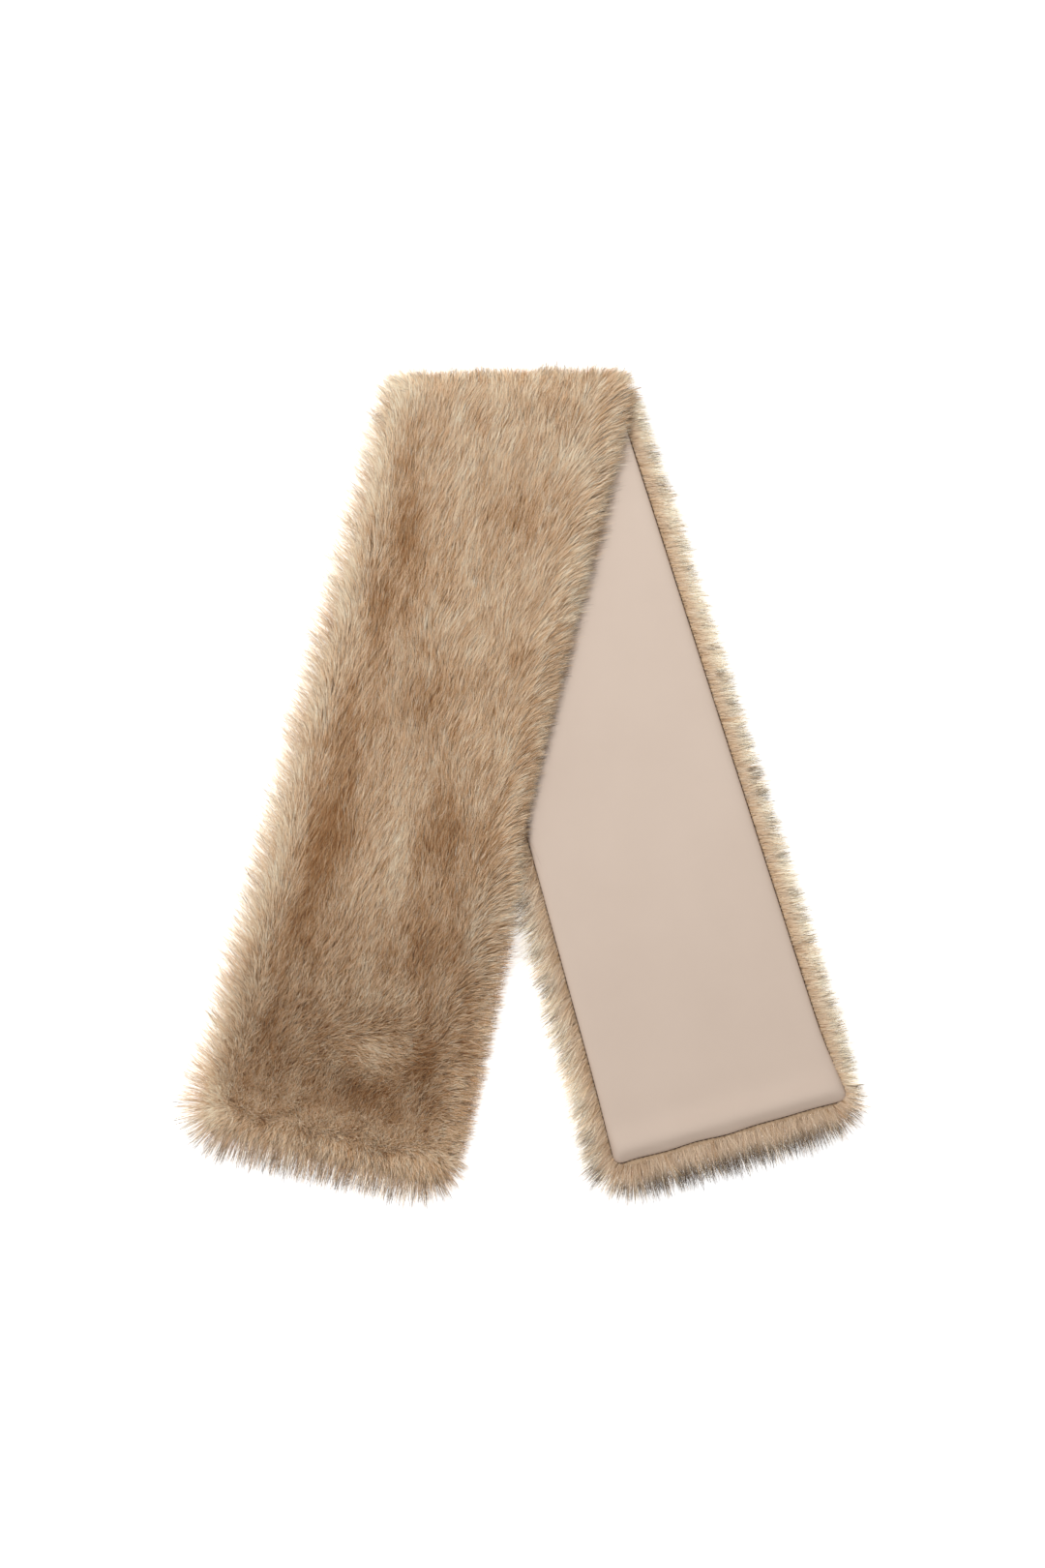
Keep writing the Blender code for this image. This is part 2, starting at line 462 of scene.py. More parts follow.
def mesh_of(name, points, corners, sizes, spread, finish):
    """One mesh from points, the corners of all its faces in turn, and how many each face has."""
    data = bpy.data.meshes.new(name)
    data.vertices.add(len(points))
    data.vertices.foreach_set("co", points.astype(np.float32).ravel())
    data.loops.add(len(corners))
    data.loops.foreach_set("vertex_index", corners.astype(np.int32))
    data.polygons.add(len(sizes))
    starts = np.concatenate([[0], np.cumsum(sizes)[:-1]])
    data.polygons.foreach_set("loop_start", starts.astype(np.int32))
    data.polygons.foreach_set("use_smooth", np.ones(len(sizes), bool))
    data.update(calc_edges=True)
    if spread is not None:
        layer = data.uv_layers.new(name="OFBake")
        layer.uv.foreach_set("vector", spread[corners].astype(np.float32).ravel())
    data.materials.append(finish)
    made = bpy.data.objects.new(name, data)
    bpy.context.scene.collection.objects.link(made)
    return made


def hair_mesh(name, paths, out, width, tint, seed):
    """Hairs as flat tapered ribbons along their paths, turned by chance about their length."""
    rng = np.random.default_rng(seed)
    count, knots = paths.shape[:2]
    heading = unit(paths[:, -1] - paths[:, 0])
    side = unit(np.cross(heading, out))
    turn = rng.uniform(-TWIST, TWIST, count)[:, None]
    side = side * np.cos(turn) + np.cross(heading, side) * np.sin(turn)
    per_hair = 2 * knots - 1
    points = np.empty((count, per_hair, 3))
    spread = np.empty((count, per_hair, 2))
    for knot in range(knots - 1):
        share = knot / (knots - 1)
        half = side * (width / 2 * TAPER**knot)[:, None]
        points[:, 2 * knot] = paths[:, knot] - half
        points[:, 2 * knot + 1] = paths[:, knot] + half
        spread[:, 2 * knot, 0] = spread[:, 2 * knot + 1, 0] = MAP_ROOT + MAP_RUN * share
        spread[:, 2 * knot, 1] = tint - MAP_WIDTH
        spread[:, 2 * knot + 1, 1] = tint + MAP_WIDTH
    points[:, -1] = paths[:, -1]
    points[:, :, 2] = np.maximum(points[:, :, 2], GROUND_CLEAR)
    spread[:, -1] = np.stack([np.full(count, MAP_ROOT + MAP_RUN), tint], axis=1)
    first = np.arange(count)[:, None] * per_hair
    quad = np.array((0, 1, 3, 2))
    quads = [first + quad + 2 * knot for knot in range(knots - 2)]
    tips = first + np.array((per_hair - 3, per_hair - 2, per_hair - 1))
    corners = np.concatenate([faces.ravel() for faces in (*quads, tips)])
    sizes = np.concatenate([np.full(count * (knots - 2), 4), np.full(count, 3)])
    points, spread = points.reshape(-1, 3), spread.reshape(-1, 2)
    return mesh_of(name, points, corners, sizes, spread, FUR_PILE)


# ---------------------------------------------------------------- the pile
def sprout(surface, a, b, step=STEP):
    """Where hairs root on a surface, and which way is right, ahead and out there."""
    right = unit(surface(a + STEP, b) - surface(a - STEP, b))
    ahead = unit(surface(a, b + step) - surface(a, b - step))
    return Pelt(surface(a, b), right, ahead, unit(np.cross(right, ahead)))


def grow(pelt, pull, length, knots, droop, ground):
    """Paths of hairs that stand at the root and bend over by their pull and their droop. They stay
    above the ground and flatten softly at the pile's top."""
    heading = pelt.right * pull[:, :1] + pelt.ahead * pull[:, 1:]
    flat = np.clip(np.linalg.norm(heading, axis=1), 0, 1)
    heading = unit(heading)
    path = [pelt.root]
    for knot in range(knots - 1):
        share = (knot + 0.5) / (knots - 1)
        rise = math.pi / 2 - flat * (math.pi / 2 - blend(ROOT_RISE, TIP_RISE, share))
        way = heading * np.cos(rise)[:, None] + pelt.out * np.sin(rise)[:, None]
        point = path[-1] + way * (length / (knots - 1))[:, None]
        point[:, 2] -= droop * share * length
        point[:, 2] = np.maximum(point[:, 2], ground(point[:, :2]) + HAIR_CLEAR)
        over = np.maximum(point[:, 2] - PILE_TOP, 0)
        point[:, 2] += PILE_GIVE * (1 - np.exp(-over / PILE_GIVE)) - over
        path.append(point)
    return np.stack(path, axis=1)


def bend_over_fold(paths):
    """Hairs that reach past the fold hang over it."""
    past = (paths[..., :2] - FOLD_MIDDLE) @ PAST_FOLD
    paths[..., 2] -= FOLD_BEND * np.maximum(past + FOLD_BEND_START, 0) ** 2


def locks_of(spots, size, rng):
    """Parts the roots into small locks about this wide. Returns each root's lock."""
    low = spots.min(axis=0) - 2 * size
    columns, rows = (np.ceil((spots.max(axis=0) - low) / size) + 3).astype(int)
    cells = np.stack(np.meshgrid(np.arange(columns), np.arange(rows), indexing="ij"), axis=-1)
    middles = low + (cells + rng.random((columns, rows, 2))) * size
    cell = np.floor((spots - low) / size).astype(int)
    nearest = np.full(len(spots), np.inf)
    lock = np.zeros(len(spots), int)
    for step in np.ndindex(3, 3):
        column, row = (cell + np.array(step) - 1).T
        far = np.linalg.norm(middles[column, row] - spots, axis=1)
        nearer = far < nearest
        nearest[nearer] = far[nearer]
        lock[nearer] = (column * rows + row)[nearer]
    return np.unique(lock, return_inverse=True)[1]


def by_lock(lock, size, rng):
    """A chance share of about this size, the same for each hair of a lock."""
    return rng.normal(0, size, lock.max() + 1)[lock]


def gather(paths, lock, pull, rng):
    """Draws each lock's hairs together in plan, more towards their tips, and some locks more than
    others."""
    many = np.bincount(lock)
    hold = pull * rng.uniform(0.1, 1.9, len(many))[lock]
    last = paths.shape[1] - 1
    for knot in range(1, last + 1):
        plan = paths[:, knot, :2]
        mean = np.stack([np.bincount(lock, plan[:, axis]) / many for axis in (0, 1)], axis=1)
        share = hold * knot / last
        plan += share[:, None] * (mean[lock] - plan)


def swing(pull, angle):
    """Turns each hair's pull by its angle, to the left if it is positive."""
    cos, sin = np.cos(angle), np.sin(angle)
    right, ahead = pull.T
    return np.stack([right * cos - ahead * sin, right * sin + ahead * cos], axis=1)


def ruffle(pull, spots, lock, rng, swells=1.0):
    """Turns and lifts the comb a little: in slow swells, by locks, and hair by hair."""
    slow = SLOW_TURN * drift(spots, SLOW_SIZE, 11)
    quick = QUICK_TURN * drift(spots, QUICK_SIZE, 12)
    angle = swells * (slow + quick)
    angle += by_lock(lock, LOCK_TURN, rng) + rng.normal(0, HAIR_TURN, len(pull))
    return swing(pull, angle) * (1 + by_lock(lock, LOCK_LIFT, rng))[:, None]


def go_astray(pull, stray, rng):
    """Turns every hair's pull a little by chance, and a stray's more."""
    far = rng.normal(0, STRAY_TURN, len(stray))
    near = rng.normal(0, RIM_TURN, len(stray))
    return swing(pull, np.where(stray, far, near))


def uneven(count, spread, least, most, rng):
    """Chance shares about 1 for hairs of uneven length."""
    return rng.normal(1, spread, count).clip(least, most)


def tints(tone, lock, guards, rng):
    """Each hair's place on the colour map, from its tone and its chance of a dark tip."""
    tone = tone + by_lock(lock, LOCK_TONE, rng) + rng.normal(0, HAIR_TONE, len(tone))
    plain = PLAIN[0] + PLAIN[1] * np.clip(tone, 0, 1)
    guard = GUARD[0] + GUARD[1] * np.clip(tone, 0, 1)
    return np.where(rng.random(len(tone)) < guards, guard, plain)


# The front tail's patches, from its fold to its end: off, up, half off, half up, and how much
# paler.
FRONT_PATCHES = (
    (-0.053, 0.450, 0.010, 0.036, -0.30),
    (0.028, 0.482, 0.016, 0.014, -0.14),
    (0.048, 0.445, 0.018, 0.014, 0.14),
    (0.022, 0.412, 0.020, 0.022, -0.26),
    (-0.042, 0.398, 0.013, 0.030, -0.42),
    (-0.022, 0.370, 0.013, 0.022, -0.18),
    (0.066, 0.378, 0.010, 0.026, 0.14),
    (-0.047, 0.346, 0.014, 0.030, -0.30),
    (-0.052, 0.268, 0.018, 0.040, -0.30),
    (0.000, 0.298, 0.018, 0.024, -0.24),
    (0.042, 0.318, 0.016, 0.016, -0.12),
    (0.024, 0.212, 0.015, 0.028, -0.34),
    (0.050, 0.206, 0.012, 0.024, -0.16),
    (-0.001, 0.196, 0.010, 0.046, 0.26),
    (-0.046, 0.200, 0.016, 0.034, -0.56),
    (-0.026, 0.172, 0.008, 0.018, 0.14),
    (-0.068, 0.166, 0.008, 0.030, 0.20),
    (0.064, 0.172, 0.012, 0.030, 0.22),
    (-0.052, 0.146, 0.014, 0.020, -0.30),
    (0.032, 0.146, 0.016, 0.022, -0.30),
    (0.004, 0.112, 0.030, 0.014, 0.18),
    (-0.068, 0.080, 0.008, 0.020, 0.16),
    (-0.052, 0.076, 0.012, 0.030, -0.16),
    (0.014, 0.082, 0.018, 0.010, 0.16),
    (0.042, 0.080, 0.012, 0.014, -0.34),
    (0.018, 0.050, 0.018, 0.010, -0.34),
)


def front_tone(off, up):
    """How pale the front pile is: paler towards the fold, at its left side and at its very end,
    then by patches and streaks."""
    left = width_at(up) / 2 - UNDERFUR_SIDE + off
    tone = 0.40 + 0.19 * up / TAIL_LENGTH + 0.33 * fade(left, 0.023) + 0.10 * fade(up, 0.035)
    for at_off, at_up, half_off, half_up, paler in FRONT_PATCHES:
        tone = tone + paler * hill(off, up, at_off, at_up, half_off, half_up)
    streaks = np.stack([off, up / 3], axis=-1)
    tone = tone + 0.08 * drift(streaks, 0.014, 21) + 0.07 * drift(streaks, 0.004, 25)
    return tone + 0.04 * drift(place(FRONT, off, up), 0.005, 22)


def comb_front(off, up):
    """The front pile lies towards the fold. It fans over the sides, stands up lower down, and turns
    over the end with no clean parting; low on the right it has a cowlick."""
    half = width_at(up) / 2 - UNDERFUR_SIDE
    over_right = fade(half - off, RIGHT_FAN)
    over_left = fade(half + off, LEFT_FAN)
    end = up - UNDERFUR_END + 0.004 * drift(place(FRONT, off, up), 0.03, 13)
    over_end = fade(end, END_TURN)
    standing = fade(up - LOW, 0.17)
    to_right = 0.10 + 0.70 * over_right - 0.32 * over_left
    to_fold = blend(0.95, 0.50, standing) - 0.42 * over_right - 0.12 * over_left
    cowlick = 0.8 * hill(off, up, *COWLICK)
    to_right = blend(to_right, 0.75, cowlick)
    to_fold = blend(to_fold, -0.20, cowlick)
    to_right = blend(to_right, 0.85 * off / half, over_end)
    to_fold = blend(to_fold, -1.0, over_end)
    return np.stack([to_right, to_fold], axis=1)


def scatter(count, low, high, rng):
    """Roots spread over a tail's underfur between two heights up it."""
    rows = max(1, round(math.sqrt(count * (high - low) / END_WIDTH)))
    columns = max(1, count // rows)
    column, row = np.meshgrid(np.arange(columns), np.arange(rows))
    across = (column.ravel() + rng.random(columns * rows)) / columns
    up = low + (high - low) * (row.ravel() + rng.random(columns * rows)) / rows
    off = (2 * across - 1) * (width_at(up) / 2 - UNDERFUR_SIDE)
    inside = underfur_depth(off, up) > 0
    return off[inside], up[inside]


def front_pile(count, seed):
    """The pile over the front tail, in three stretches from its end to its fold. It is shorter low
    down the tail, at its parting and at its rim, and thicker at its parting."""
    rng = np.random.default_rng(seed)
    off, up = scatter(count, UNDERFUR_END, TAIL_LENGTH, rng)
    from_up, to_up = PARTING - PARTING_BELOW, PARTING + PARTING_ABOVE
    more_off, more_up = scatter(count // PARTING_MORE, from_up, to_up, rng)
    off, up = np.concatenate([off, more_off]), np.concatenate([up, more_up])
    pelt = sprout(front_underfur_high, off, up)
    lock = locks_of(pelt.root[:, :2], LOCK_SIZE, rng)
    parting = hill(off, up, off, PARTING + 0.004, 1.0, 0.013)
    depth = underfur_depth(off, up)
    rim = fade(depth, 0.012)
    pull = ruffle(comb_front(off, up), pelt.root[:, :2], lock, rng, 1 - 0.5 * rim)
    low = fade(up - LOW, 0.20)
    loose = 0.06 + 0.15 * low + 0.30 * parting
    pull += rng.normal(0, 1, pull.shape) * loose[:, None]
    length = FRONT_HAIR - 0.003 * low - 0.003 * parting
    length = np.minimum(length, FRONT_EDGE_HAIR + 0.95 * depth)
    length *= uneven(len(off), 0.12, 0.6, 1.3, rng)
    right = width_at(up) / 2 - UNDERFUR_SIDE - off
    length *= 1 - 0.30 * waist(up) * fade(right, 0.020)
    paths = grow(pelt, pull, length, 3, 0.10 * rim, front_lift)
    bend_over_fold(paths)
    gather(paths, lock, LOCK_PULL * (1 - 0.6 * rim), rng)
    guards = 0.04 + 0.16 * fade(right, 0.020) + 0.32 * fade(up - UNDERFUR_END, 0.012)
    # The tone is raised a little at the parting: painted light, offsetting the shade between the
    # hairs that lean apart there.
    tint = tints(front_tone(off, up) + 0.10 * parting, lock, guards, rng)
    width = HAIR_WIDTH * rng.uniform(0.7, 1.25, len(off))
    stretch = np.searchsorted(np.array(STRETCHES) * TAIL_LENGTH, up, side="right")
    made = []
    for number, name in enumerate(("pile_front_end", "pile_front_middle", "pile_front_fold")):
        here = stretch == number
        hairs = (paths[here], pelt.out[here], width[here], tint[here])
        made.append(hair_mesh(name, *hairs, seed + number))
    return made


def square_edge(side_inset, end_inset, steps):
    """Points on a tail's edge drawn in by these insets, from fold to fold, its corners square."""
    side = TAIL_LENGTH - end_inset
    across = END_WIDTH - 2 * side_inset
    run = np.linspace(0, 1, steps) * (2 * side + across)
    up = np.where(run < side, TAIL_LENGTH - run, end_inset)
    up = np.where(run > side + across, end_inset + run - side - across, up)
    off = (np.clip(run - side, 0, across) / across * 2 - 1) * (width_at(up) / 2 - side_inset)
    return off, up


def outline(count, rng):
    """Points spread along a tail's underfur edge from fold to fold, and the way out there, both in
    its own measures."""
    off, up = square_edge(UNDERFUR_SIDE, UNDERFUR_END, RIM_STEPS)
    off, up = round_corner(off, up, UNDERFUR_SIDE, UNDERFUR_END, UNDERFUR_RADIUS)
    length = np.concatenate([[0], np.cumsum(np.hypot(np.diff(off), np.diff(up)))])
    at = (np.arange(count) + rng.random(count)) / count * length[-1]
    off, up = np.interp(at, length, off), np.interp(at, length, up)
    half = width_at(up) / 2 - UNDERFUR_SIDE
    out = np.maximum(CORNER_TURN - (half - np.abs(off)), 0) ** 2
    down = np.maximum(CORNER_TURN - (up - UNDERFUR_END), 0) ** 2
    way = unit(np.stack([np.sign(off) * out, -down], axis=1))
    return off, up, way


def rim_pelt(tail, off, up, way, turn, low, high):
    """Roots round the rim of a tail, at this turn from its underside to its top, and which way is
    out there, level."""
    right = unit(place(tail, off + STEP, up) - place(tail, off - STEP, up))
    ahead = unit(place(tail, off, up + STEP) - place(tail, off, up - STEP))
    out_flat = with_height(unit(right * way[:, :1] + ahead * way[:, 1:]), 0.0)
    rise = np.array((0, 0, 1.0))
    out = out_flat * np.cos(turn)[:, None] + rise * np.sin(turn)[:, None]
    root = blend(low(off, up), high(off, up), 0.5) + rise * (np.sin(turn) * RIM_RISE)[:, None]
    root = root - out_flat * ((1 - np.cos(turn)) * RIM_INSET)[:, None]
    return Pelt(root, with_height(right, 0.0), with_height(ahead, 0.0), out), out_flat


def rim_pile(name, rim, count, seed):
    """The pile that stands out round a tail's edge, rooted round its rim and on a shelf above it. A
    few long dark hairs stray from the rest."""
    rng = np.random.default_rng(seed)
    off, up, way = outline(count, rng)
    turn = rng.uniform(RIM_LOW, RIM_HIGH, count)
    pelt, out_flat = rim_pelt(rim.tail, off, up, way, turn, rim.low, rim.high)
    inset = np.where(rng.random(count) < ON_SHELF, rng.random(count), 0) * rim.shelf
    on_shelf = inset > 0
    off_in, up_in = off - way[:, 0] * inset, up - way[:, 1] * inset
    pelt.root[on_shelf] = rim.high(off_in, up_in)[on_shelf]
    pelt.out[on_shelf] = unit(out_flat * 0.15 + np.array((0, 0, 1.0)))[on_shelf]
    lock = locks_of(pelt.root[:, :2], RIM_LOCK, rng)
    stray = rng.random(count) < STRAYS
    pull = ruffle(way * 0.9 + rim.lean(off, up), pelt.root[:, :2], lock, rng, RIM_SWELLS)
    pull = go_astray(pull, stray, rng)
    length = (rim.reach(off, up) + 0.9 * inset) * uneven(count, 0.24, 0.35, 1.45, rng)
    length = np.where(stray, 1.25 * length, length) * (1 + by_lock(lock, 0.04, rng))
    longest = LONGEST - LESS_NEAR_END * fade(up - UNDERFUR_END, NEAR_END)
    length = np.minimum(length, longest)
    paths = grow(pelt, pull, length, 4, RIM_DROOP, rim.ground)
    gather(paths, lock, RIM_PULL, rng)
    tint = tints(rim.tone(off, up), lock, np.where(stray, 0.85, rim.guards(off, up)), rng)
    up_or_out = unit(pelt.out + np.array((0, 0, 0.6)))
    width = HAIR_WIDTH * rng.uniform(0.45, 0.95, count)
    return hair_mesh(name, paths, up_or_out, width, tint, seed)


def near_corner(off, up):
    """1 at a tail's end corners, falling to 0 away from them."""
    half = width_at(up) / 2 - UNDERFUR_SIDE
    return fade(half - np.abs(off), CORNER_SIZE) * fade(up - UNDERFUR_END, CORNER_SIZE)


def round_rim(off, up, right, left, end):
    """A measure that is this at a tail's right side, its left side and its end."""
    side = np.where(off > 0, right, left)
    return blend(side, end, fade(up - UNDERFUR_END, RIM_NEAR_END))


def front_reach(off, up):
    """How long the hairs are that stand out round the front tail."""
    corner = np.where(off > 0, -0.0035, 0.0025) * near_corner(off, up)
    return round_rim(off, up, 0.0105 - 0.0045 * waist(up), 0.0190, 0.0186) + corner


def back_reach(off, up):
    corner = np.where(off > 0, -0.0030, 0.0020) * near_corner(off, up)
    return round_rim(off, up, 0.0112, 0.0175, 0.0180) + corner


def front_lean(off, up):
    """How much the hairs at the front tail's sides lean towards the fold."""
    side = 1 - fade(up - UNDERFUR_END, 0.050)
    return np.stack([0 * off, np.where(off > 0, 0.45, 1.15) * side], axis=1)


def back_lean(off, up):
    """The hairs at the back tail's sides lean towards its end."""
    side = 1 - fade(up - UNDERFUR_END, 0.040)
    return np.stack([0 * off, -np.where(off > 0, 0.08, 0.60) * side], axis=1)


def front_rim_guards(off, up):
    """The share of hairs with dark tips round the front tail."""
    return round_rim(off, up, 0.38, 0.17, 0.68)


def back_rim_guards(off, up):
    spots = place(BACK, off, up)
    clumps = 0.20 * drift(spots, 0.020, 26) + 0.24 * drift(spots, 0.0045, 27)
    return round_rim(off, up, 0.20, 0.36, 0.88) + clumps


# The back rim's tone, darkest at the end: partly the pile's own colour, partly painted shade for
# the shadows between its hairs.
def back_tone(off, up):
    swells = 0.06 * drift(place(BACK, off, up), 0.02, 23)
    return round_rim(off, up, 1.0, 0.88, 0.60) + swells


def surface_below(spots):
    return np.zeros(len(spots))


def fold_pile(count, seed):
    """The pile over the turn at the fold."""
    rng = np.random.default_rng(seed)
    off = rng.uniform(-1, 1, count) * (UNDERFUR_HALF_FOLD - 0.0005)
    turn = rng.random(count) ** 0.9
    pelt = sprout(fold_round, off, turn, TURN_STEP)
    left = UNDERFUR_HALF_FOLD + off
    sides = fade(UNDERFUR_HALF_FOLD - off, 0.022) - 1.5 * fade(left, 0.022)
    lock = locks_of(pelt.root[:, :2], RIM_LOCK, rng)
    comb = np.stack([0.10 + 0.6 * sides, 0.80 + 0 * off], axis=1)
    pull = ruffle(comb, pelt.root[:, :2], lock, rng)
    stray = rng.random(count) < 3 * STRAYS
    pull = go_astray(pull, stray, rng)
    length = FOLD_HAIR * uneven(count, 0.28, 0.4, 1.6, rng) * np.where(stray, 1.5, 1)
    length *= 1 + 0.40 * fade(left, 0.014)
    paths = grow(pelt, pull, length, 4, 0.05, surface_below)
    gather(paths, lock, RIM_PULL, rng)
    tone = front_tone(off, np.full(count, TAIL_LENGTH))
    tint = tints(tone, lock, np.where(stray, 0.6, 0.12), rng)
    width = HAIR_WIDTH * rng.uniform(0.5, 1.1, count)
    return hair_mesh("pile_fold", paths, pelt.out, width, tint, seed)


def pressed_pile(name, surface, count, seed):
    """Pile pressed flat on the surface below, lying outwards and towards the end."""
    rng = np.random.default_rng(seed)
    off, up = scatter(count, UNDERFUR_END, TAIL_LENGTH, rng)
    pelt = sprout(surface, off, up)
    root = pelt.root
    lock = locks_of(root[:, :2], 2 * LOCK_SIZE, rng)
    comb = np.stack([0.5 * off / END_WIDTH, np.full(len(off), -0.9)], axis=1)
    pull = ruffle(comb, root[:, :2], lock, rng)
    heading = unit(pelt.right * pull[:, :1] + pelt.ahead * pull[:, 1:])
    length = UNDER_HAIR * uneven(len(off), 0.15, 0.5, 1.6, rng)[:, None]
    depth = rng.uniform(*PRESSED, len(off))
    paths = np.stack([root, root + heading * length / 2, root + heading * length], axis=1)
    paths[:, 1, 2] = np.minimum(paths[:, 1, 2], depth)
    paths[:, 2, 2] = depth
    gather(paths, lock, LOCK_PULL, rng)
    tint = tints(0.62 + 0.06 * drift(root[:, :2], 0.02, 24), lock, 0.08, rng)
    width = HAIR_WIDTH * rng.uniform(0.9, 1.6, len(off))
    down = np.tile((0, 0, -1.0), (len(off), 1))
    return hair_mesh(name, paths, down, width, tint, seed)


# ---------------------------------------------------------------- the stitches
def back_seam(off, up):
    return back_underfur_high(*pulled_corners(off, up)) + (0, 0, BACK_SEAM_LIFT)


def front_seam(off, up):
    return front_lining_low(off, up) + (0, 0, FRONT_SEAM_LIFT)


def one_stitch(middle, shift):
    """A stitch's points: rings round its middle line, thin at both ends."""
    upwards = np.array((0, 0, 1.0))
    side_way = unit(np.cross(unit(middle[-1] - middle[0]), upwards))
    angle = np.arange(STITCH_SIDES) / STITCH_SIDES * math.tau
    ring = side_way * np.cos(angle)[:, None] + upwards * np.sin(angle)[:, None]
    size = STITCH_HALF * np.array((0.4, 1.0, 0.4))
    return (middle[:, None] + side_way * shift + ring[None] * size[:, None, None]).reshape(-1, 3)


def stitches(name, seam, seed):
    """A close row of stitches in the crevice between the lining and the pile. Their dark colour is
    partly painted shade, standing for the crevice's shadow.
    """
    rng = np.random.default_rng(seed)
    off, up = square_edge(SIDE_BORDER, END_BORDER, SEAM_STEPS)
    off, up = round_corner(
        off, up, SIDE_BORDER - SEAM_OUT, END_BORDER - SEAM_OUT, LINING_RADIUS
    )
    line = seam(off, up)
    run = np.concatenate([[0], np.cumsum(np.linalg.norm(np.diff(line, axis=0), axis=1))])
    rings, sides = STITCH_RINGS, STITCH_SIDES
    points, corners, sizes = [], [], []
    for start in np.arange(SEAM_START, run[-1] - STITCH_PITCH, STITCH_PITCH):
        reach = start + STITCH_LENGTH * np.linspace(0, 1, rings)
        middle = np.stack([np.interp(reach, run, line[:, axis]) for axis in range(3)], axis=1)
        first = len(points) * rings * sides
        points.append(one_stitch(middle, rng.normal(0, STITCH_SHIFT)))
        for ring in range(rings - 1):
            for side in range(sides):
                a = first + ring * sides + side
                b = first + ring * sides + (side + 1) % sides
                corners += [a, a + sides, b + sides, b]
                sizes.append(4)
        corners += [first + side for side in range(sides)]
        corners += [first + (rings - 1) * sides + side for side in reversed(range(sides))]
        sizes += [sides, sides]
    points, corners, sizes = np.concatenate(points), np.array(corners), np.array(sizes)
    return mesh_of(name, points, corners, sizes, None, THREAD_AND_SEAM_SHADE)


# ---------------------------------------------------------------- the finishes
def shade(red, green, blue):
    """A colour from its usual 0 to 255 numbers."""
    steps = [value / 255 for value in (red, green, blue)]
    return (*[v / 12.92 if v < 0.04045 else ((v + 0.055) / 1.055) ** 2.4 for v in steps], 1)


def new_finish(name, roughness):
    finish = bpy.data.materials.new(name)
    finish.use_nodes = True
    shader = finish.node_tree.nodes["Principled BSDF"]
    shader.inputs["Roughness"].default_value = roughness
    return finish, finish.node_tree, shader


def ramp(tree, stops):
    """Colours from one end of a scale to the other, each at its place."""
    node = tree.nodes.new("ShaderNodeValToRGB")
    for number, (at, colour) in enumerate(stops):
        if number > 1:
            node.color_ramp.elements.new(at)
        stop = node.color_ramp.elements[number]
        stop.position, stop.color = at, colour
    return node


# Where the change from a hair's root colour to its tip colour starts along it, for plain hairs and
# then how much later for hairs with dark tips, and where it ends.
PLAIN_START = 0.10
GUARD_LATER = 0.24
TIP_FULL = 0.84


def fur_finish():
    """Each hair by its place on the colour map: from its root to its tip across the map, and its
    tone up the map. Hairs with dark tips turn dark further out."""
    finish, tree, shader = new_finish("fur_pile", 0.55)
    shader.inputs["Specular IOR Level"].default_value = 0.22
    spread = tree.nodes.new("ShaderNodeUVMap")
    spread.uv_map = "OFBake"
    parts = tree.nodes.new("ShaderNodeSeparateXYZ")
    tree.links.new(spread.outputs["UV"], parts.inputs["Vector"])
    roots = ramp(
        tree,
        (
            (0.03, shade(132, 86, 48)),
            (0.65, shade(230, 200, 164)),
            (0.72, shade(182, 152, 122)),
            (0.97, shade(230, 208, 182)),
        ),
    )
    tips = ramp(
        tree,
        (
            (0.03, shade(184, 134, 86)),
            (0.34, shade(242, 210, 170)),
            (0.65, shade(255, 250, 230)),
            (0.72, shade(40, 29, 21)),
            (0.97, shade(62, 47, 35)),
        ),
    )
    for node in (roots, tips):
        tree.links.new(parts.outputs["Y"], node.inputs["Fac"])
    guard = tree.nodes.new("ShaderNodeMath")
    guard.operation = "GREATER_THAN"
    guard.inputs[1].default_value = FIRST_GUARD
    tree.links.new(parts.outputs["Y"], guard.inputs[0])
    start = tree.nodes.new("ShaderNodeMath")
    start.operation = "MULTIPLY_ADD"
    start.inputs[1].default_value = GUARD_LATER
    start.inputs[2].default_value = PLAIN_START
    tree.links.new(guard.outputs[0], start.inputs[0])
    along = tree.nodes.new("ShaderNodeMapRange")
    along.interpolation_type = "SMOOTHSTEP"
    along.inputs["From Max"].default_value = TIP_FULL
    tree.links.new(parts.outputs["X"], along.inputs["Value"])
    tree.links.new(start.outputs[0], along.inputs["From Min"])
    mix = tree.nodes.new("ShaderNodeMix")
    mix.data_type = "RGBA"
    tree.links.new(along.outputs["Result"], mix.inputs["Factor"])
    tree.links.new(roots.outputs["Color"], mix.inputs["A"])
    tree.links.new(tips.outputs["Color"], mix.inputs["B"])
    tree.links.new(mix.outputs["Result"], shader.inputs["Base Color"])
    return finish


def pattern(tree, kind, scale, stretch=(1, 1, 1), turn=0.0, **inputs):
    """A pattern on Object coordinates, stretched and turned about the vertical."""
    where = tree.nodes.new("ShaderNodeTexCoord")
    turned = tree.nodes.new("ShaderNodeMapping")
    turned.inputs["Rotation"].default_value = (0, 0, turn)
    turned.inputs["Scale"].default_value = stretch
    drawn = tree.nodes.new(kind)
    drawn.inputs["Scale"].default_value = scale
    for name, value in inputs.items():
        drawn.inputs[name.replace("_", " ")].default_value = value
    tree.links.new(where.outputs["Object"], turned.inputs["Vector"])
    tree.links.new(turned.outputs["Vector"], drawn.inputs["Vector"])
    return drawn


